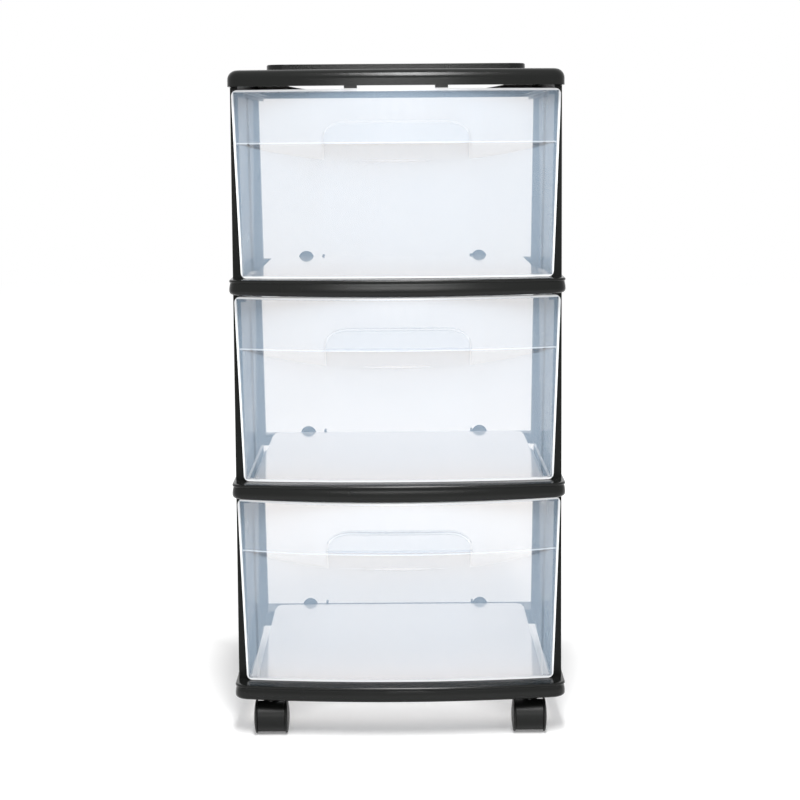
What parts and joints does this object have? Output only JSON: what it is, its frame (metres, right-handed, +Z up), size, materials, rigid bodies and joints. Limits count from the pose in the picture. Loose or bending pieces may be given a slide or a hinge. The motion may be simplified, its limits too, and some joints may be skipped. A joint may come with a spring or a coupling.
{
  "type": "plastic drawer tower",
  "caption": "Black plastic tower on swivelling twin-wheel casters, with clear pull-out drawers hung by their rims in a frame of shelves, side panels and a cap with a shallow tray on top.",
  "frame": {"origin": "on the floor, under the middle of the tower's bounding box", "axes": "+Z up, the drawers open towards -Y, and +X points to the right of someone who faces the drawers"},
  "size_m": [0.322, 0.366, 0.649],
  "materials": {
    "black_plastic": "satin moulded plastic",
    "clear_plastic": "clear, faintly hazy moulded plastic",
    "caster_plastic": "satin moulded plastic",
    "steel": "plated"
  },
  "bodies": {
    "frame": {"cap": "black_plastic", "shelf_1": "black_plastic", "shelf_2": "black_plastic", "base_shelf": "black_plastic", "panel_1_left": "black_plastic", "panel_1_right": "black_plastic", "panel_2_left": "black_plastic", "panel_2_right": "black_plastic", "panel_3_left": "black_plastic", "panel_3_right": "black_plastic"},
    "drawer_1": {"drawer_1": "clear_plastic"},
    "drawer_2": {"drawer_2": "clear_plastic"},
    "drawer_3": {"drawer_3": "clear_plastic"},
    "caster_fl": {"caster_hood_fl": "caster_plastic", "caster_stem_fl": "steel", "caster_axle_fl": "steel"},
    "wheel_fl_left": {"wheel_fl_left": "caster_plastic"},
    "wheel_fl_right": {"wheel_fl_right": "caster_plastic"},
    "caster_fr": {"caster_hood_fr": "caster_plastic", "caster_stem_fr": "steel", "caster_axle_fr": "steel"},
    "wheel_fr_left": {"wheel_fr_left": "caster_plastic"},
    "wheel_fr_right": {"wheel_fr_right": "caster_plastic"},
    "caster_rl": {"caster_hood_rl": "caster_plastic", "caster_stem_rl": "steel", "caster_axle_rl": "steel"},
    "wheel_rl_left": {"wheel_rl_left": "caster_plastic"},
    "wheel_rl_right": {"wheel_rl_right": "caster_plastic"},
    "caster_rr": {"caster_hood_rr": "caster_plastic", "caster_stem_rr": "steel", "caster_axle_rr": "steel"},
    "wheel_rr_left": {"wheel_rr_left": "caster_plastic"},
    "wheel_rr_right": {"wheel_rr_right": "caster_plastic"}
  },
  "joints": [
    {"name": "drawer_1_slide", "type": "slide", "parent": "frame", "child": "drawer_1", "axis": [0, -1, 0], "range_m": [0, 0.27]},
    {"name": "drawer_2_slide", "type": "slide", "parent": "frame", "child": "drawer_2", "axis": [0, -1, 0], "range_m": [0, 0.27]},
    {"name": "drawer_3_slide", "type": "slide", "parent": "frame", "child": "drawer_3", "axis": [0, -1, 0], "range_m": [0, 0.27]},
    {"name": "caster_fl_swivel", "type": "hinge", "parent": "frame", "child": "caster_fl", "pos_m": [-0.126, -0.146, 0.034], "axis": [0, 0, 1], "continuous": true},
    {"name": "wheel_fl_left_spin", "type": "hinge", "parent": "caster_fl", "child": "wheel_fl_left", "pos_m": [-0.1413, -0.154, 0.0165], "axis": [1, 0, 0], "continuous": true},
    {"name": "wheel_fl_right_spin", "type": "hinge", "parent": "caster_fl", "child": "wheel_fl_right", "pos_m": [-0.1107, -0.154, 0.0165], "axis": [1, 0, 0], "continuous": true},
    {"name": "caster_fr_swivel", "type": "hinge", "parent": "frame", "child": "caster_fr", "pos_m": [0.126, -0.146, 0.034], "axis": [0, 0, 1], "continuous": true},
    {"name": "wheel_fr_left_spin", "type": "hinge", "parent": "caster_fr", "child": "wheel_fr_left", "pos_m": [0.1107, -0.154, 0.0165], "axis": [1, 0, 0], "continuous": true},
    {"name": "wheel_fr_right_spin", "type": "hinge", "parent": "caster_fr", "child": "wheel_fr_right", "pos_m": [0.1413, -0.154, 0.0165], "axis": [1, 0, 0], "continuous": true},
    {"name": "caster_rl_swivel", "type": "hinge", "parent": "frame", "child": "caster_rl", "pos_m": [-0.126, 0.15, 0.034], "axis": [0, 0, 1], "continuous": true},
    {"name": "wheel_rl_left_spin", "type": "hinge", "parent": "caster_rl", "child": "wheel_rl_left", "pos_m": [-0.1413, 0.142, 0.0165], "axis": [1, 0, 0], "continuous": true},
    {"name": "wheel_rl_right_spin", "type": "hinge", "parent": "caster_rl", "child": "wheel_rl_right", "pos_m": [-0.1107, 0.142, 0.0165], "axis": [1, 0, 0], "continuous": true},
    {"name": "caster_rr_swivel", "type": "hinge", "parent": "frame", "child": "caster_rr", "pos_m": [0.126, 0.15, 0.034], "axis": [0, 0, 1], "continuous": true},
    {"name": "wheel_rr_left_spin", "type": "hinge", "parent": "caster_rr", "child": "wheel_rr_left", "pos_m": [0.1107, 0.142, 0.0165], "axis": [1, 0, 0], "continuous": true},
    {"name": "wheel_rr_right_spin", "type": "hinge", "parent": "caster_rr", "child": "wheel_rr_right", "pos_m": [0.1413, 0.142, 0.0165], "axis": [1, 0, 0], "continuous": true}
  ]
}
